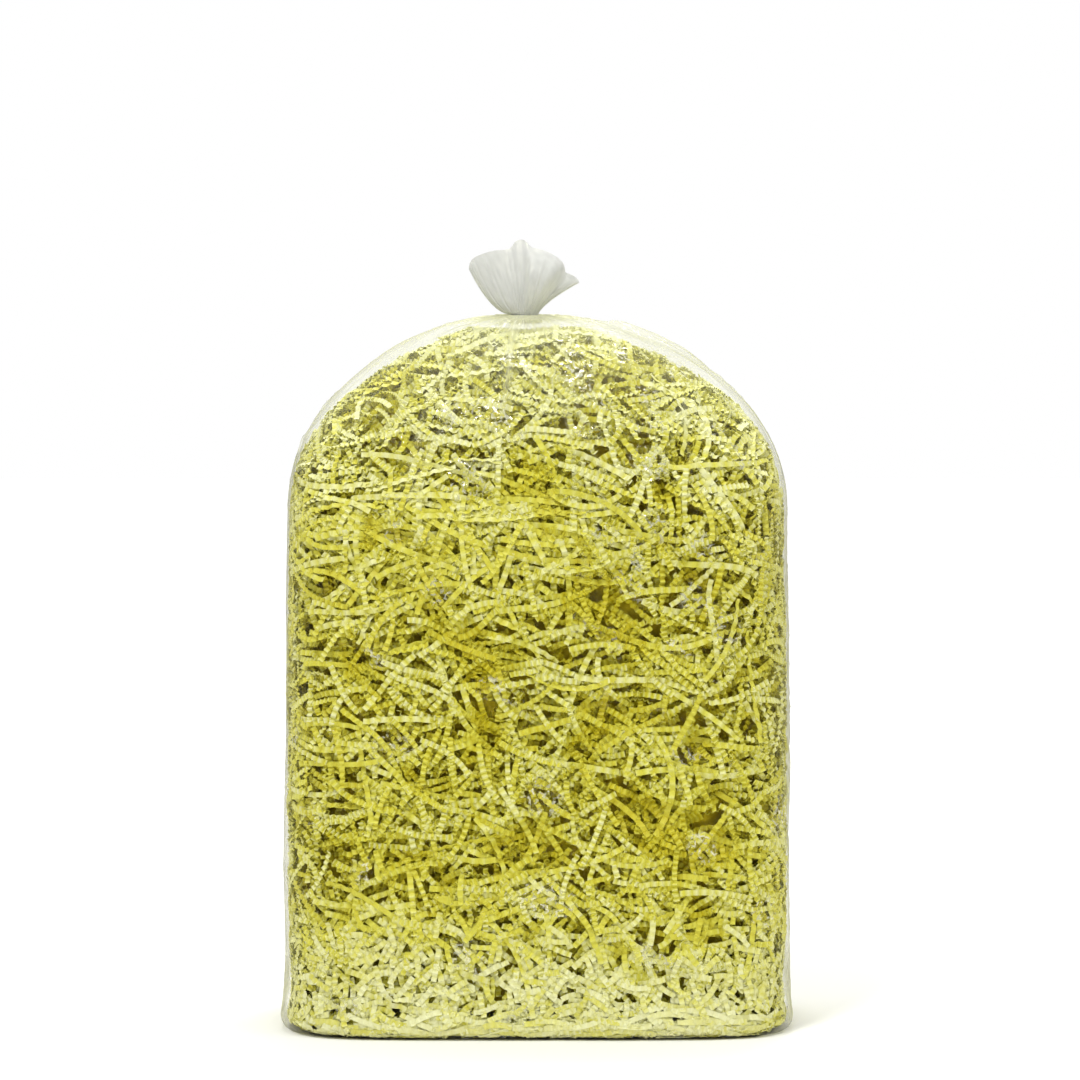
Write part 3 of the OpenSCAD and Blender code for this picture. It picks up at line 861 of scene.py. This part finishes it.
def ribbon_outline():
    """Half of a tie ribbon's cut, mirrored: flat wings 0.3 mm thick and a round ridge over the wire."""
    across = np.array([-1.95, -1.9, -1.2, -0.55, -0.3, 0.0, 0.3, 0.55, 1.2, 1.9, 1.95])
    bulge = 0.15 + 0.27 * np.exp(-(across / 0.38) ** 2)
    bulge[[0, -1]] = 0.06
    return np.concatenate([np.stack([across, bulge], 1), np.stack([across, -bulge], 1)[::-1]])


def sweep(path, wide, thick, outline):
    """Carries an outline along a path: its first number goes along wide and its second along thick."""
    return path[:, None] + outline[None, :, :1] * wide[:, None] + outline[None, :, 1:] * thick[:, None]


def closed_sweep_faces(rows, around):
    """Faces of a sweep whose last row joins its first."""
    faces = tube_faces(rows, around)
    here = np.arange(around)
    beside = (here + 1) % around
    top = (rows - 1) * around
    return np.concatenate([faces, np.stack([top + here, top + beside, beside, here], -1)])


def capped_sweep(grids):
    """Points and faces of several sweeps, each with both ends closed by a fan to its middle."""
    points, faces, start = [], [], 0
    for grid in grids:
        rows, around = grid.shape[:2]
        flat = np.concatenate([grid.reshape(-1, 3), [grid[0].mean(0), grid[-1].mean(0)]])
        end = rows * around
        mine = np.concatenate([tube_faces(rows, around), disc_faces(0, around, end, False),
                               disc_faces((rows - 1) * around, around, end + 1, True)])
        points.append(flat)
        faces.append(mine + start)
        start += len(flat)
    return np.concatenate(points), np.concatenate(faces)


def outward(piece):
    """Turns a closed piece's faces outwards."""
    work = bmesh.new()
    work.from_mesh(piece.data)
    bmesh.ops.recalc_face_normals(work, faces=work.faces)
    work.to_mesh(piece.data)
    work.free()
    return piece


def twist_tie(material, wire):
    """The tie: a ribbon round the neck, its two ends twisted round each other behind it, and two loose
    tips."""
    outline = ribbon_outline()
    turn = np.linspace(0, 2 * np.pi, 120, endpoint=False)
    radius = TIE_INNER + 0.55 + 0.12 * np.cos(3 * turn)
    out = np.stack([np.cos(turn), np.sin(turn), 0 * turn], 1)
    path = TIE_MIDDLE + out * radius[:, None] + np.array([0, 0, 0.25]) * np.sin(2 * turn)[:, None]
    up = np.tile([0.0, 0.0, 1.0], (len(turn), 1))
    grid = sweep(path, up, out, outline)
    faces = closed_sweep_faces(*grid.shape[:2])
    band = outward(make_piece("tie_loop", grid.reshape(-1, 3), faces, material))
    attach(band, "bag")
    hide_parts("tie_band", "tie_wire")

    joint = next(j for j in frame["joints"] if j["name"] == "tie_untwist")
    along = np.array(joint["axis"])
    root = np.array(joint["pos_m"]) / MM
    side = np.array([1.0, 0, 0])
    lift = np.cross(along, side)
    length, turns = 12.0, 2.5
    run = np.linspace(0, 1, 90)
    angle = 2 * np.pi * turns * run
    narrow = outline * [0.82, 1]
    grids, wires, tips = [], [], []
    for sign in (-1, 1):
        off = np.cos(angle)[:, None] * lift + np.sin(angle)[:, None] * side
        flat_way = -np.sin(angle)[:, None] * lift + np.cos(angle)[:, None] * side
        middle = root + along * (length * run)[:, None] + sign * off * 0.5
        grids.append(sweep(middle, flat_way, off, narrow))
        tip_run = np.linspace(0, 1, 24)[:, None]
        spread = 0.5 + 3.4 * tip_run ** 1.5
        tip = root + along * (length + 7.0 * tip_run) + sign * spread * off[-1]
        tips.append(sweep(tip, np.tile(flat_way[-1], (24, 1)), np.tile(off[-1], (24, 1)), narrow))
        circle = np.stack([np.cos(turn[::15]), np.sin(turn[::15])], 1) * 0.25
        end = tip[-1] + along * np.array([[-0.6], [0.5]])
        wires.append(sweep(end, np.tile(flat_way[-1], (2, 1)), np.tile(off[-1], (2, 1)), circle))
    for name, group, finish, slot, nodes in (
        ("tie_twisted_ribbons", grids, material, "tie_ribbon", ("tie_twist",)),
        ("tie_tips", tips, material, "tie_ribbon", ("tie_ends",)),
        ("tie_wire_ends", wires, wire, "tie_wire", ("tie_twist_wires",)),
    ):
        points, faces = capped_sweep(group)
        piece = outward(make_piece(name, points, faces, finish, smooth=name != "tie_wire_ends"))
        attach(piece, "twist")
        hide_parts(*nodes)


# ---------------------------------------------------------------- floor, light and camera

def pale_floor():
    """A white floor, which throws back less light than it shows, as a grey one would, and glows a little
    further off, so that it meets the room without an edge."""
    made, output = new_material("pale matte floor")
    tree = made.node_tree
    path = add(tree, "ShaderNodeLightPath")
    shade = add(tree, "ShaderNodeMix", {"Factor": path.outputs["Is Camera Ray"]}, data_type="RGBA")
    shade.inputs[6].default_value = linear("#F2F0E8")
    shade.inputs[7].default_value = linear("#FAFAF9")
    face = add(tree, "ShaderNodeBsdfDiffuse", {"Color": shade.outputs[2]})
    place = add(tree, "ShaderNodeTexCoord")
    away = add(tree, "ShaderNodeVectorMath", {0: place.outputs["Object"]}, operation="LENGTH")
    far = map_range(tree, away.outputs["Value"], 0.3, 1.2, 0.0, 0.35)
    lift = math_node(tree, "MULTIPLY", path.outputs["Is Camera Ray"], far)
    glow = add(tree, "ShaderNodeEmission", {"Strength": lift})
    both = add(tree, "ShaderNodeAddShader", {0: face.outputs[0], 1: glow.outputs[0]})
    tree.links.new(both.outputs[0], output.inputs["Surface"])
    half = 6000.0
    floor = make_piece("floor", [[-half, -half, 0], [half, -half, 0], [half, half, 0], [-half, half, 0]],
                       [[0, 1, 2, 3]], made, smooth=False)


def white_room():
    """A room that shows white, and lights the bag by direction: least from below, most from above and
    behind."""
    world = bpy.data.worlds.new("white room")
    bpy.context.scene.world = world
    world.use_nodes = True
    tree = world.node_tree
    tree.nodes.clear()
    way = add(tree, "ShaderNodeTexCoord")
    path = add(tree, "ShaderNodeLightPath")
    # how far a direction points up and a little away from the camera
    lean = add(tree, "ShaderNodeVectorMath", {0: way.outputs["Generated"]}, operation="DOT_PRODUCT")
    lean.inputs[1].default_value = (0, 0.3, 0.95)
    white = map_range(tree, lean.outputs["Value"], -0.5, 0.85, 0.05, 0.85, interpolation_type="SMOOTHSTEP")
    seen = math_node(tree, "MAXIMUM", white, path.outputs["Is Camera Ray"])
    sky = add(tree, "ShaderNodeBackground", {"Strength": seen}, Color=(1, 1, 1, 1))
    tree.links.new(sky.outputs[0], add(tree, "ShaderNodeOutputWorld").inputs["Surface"])


def soft_lights():
    """Soft lights: a key above and to the left, one overhead, a weak one at the right, and a card that
    throws a little light back at the foot."""
    for name, place, aim_height, size, height, power in (
        ("key softbox", (-0.3, -0.85, 1.75), 0.2, 0.3, 0.3, 15.0),
        ("overhead softbox", (0.1, 0.6, 1.7), 0.2, 0.6, 0.6, 10.5),
        ("right softbox", (1.4, -0.9, 1.1), 0.2, 0.3, 0.3, 3.0),
        ("card in front of the foot", (0, -0.27, 0.03), 0.03, 0.34, 0.05, 0.035),
    ):
        light = bpy.data.lights.new(name, "AREA")
        light.shape = "ELLIPSE"
        light.size = size
        light.size_y = height
        light.energy = power
        lamp = bpy.data.objects.new(name, light)
        lamp.location = place
        aim = Vector((0, 0, aim_height)) - Vector(place)
        lamp.rotation_euler = aim.to_track_quat("-Z", "Y").to_euler()
        lamp.visible_camera = False
        lamp.visible_glossy = name != "card in front of the foot"
        bpy.context.scene.collection.objects.link(lamp)


def camera():
    """A long lens, 3.5 degrees above the horizon, square on to the bag's front."""
    elevation = np.radians(3.5)
    distance, view_width = 3.4, 0.611
    aim = Vector((0.0017, 0.0, 0.2719))
    lens = bpy.data.cameras.new("camera")
    lens.sensor_width = 36.0
    lens.lens = lens.sensor_width * distance / view_width
    lens.clip_end = 50
    made = bpy.data.objects.new("camera", lens)
    made.location = aim + distance * Vector((0, -float(np.cos(elevation)), float(np.sin(elevation))))
    made.rotation_euler = (aim - made.location).to_track_quat("-Z", "Y").to_euler()
    bpy.context.scene.collection.objects.link(made)
    bpy.context.scene.camera = made
    bpy.context.scene.view_settings.view_transform = "Standard"


camera()
pale_floor()
white_room()
soft_lights()
lay_all_strands()
shred_pieces(paper_material())
packed_core(packed_paper_in_painted_shade())
bag_film(film_material("clear LDPE film", "#F2F3DC", 0.08, 0.12, 1.0))
tail_film(film_material("bunched LDPE film", "#EEEFED", 0.05, 0.35, 0.15))
twist_tie(ribbon_material(), wire_material())
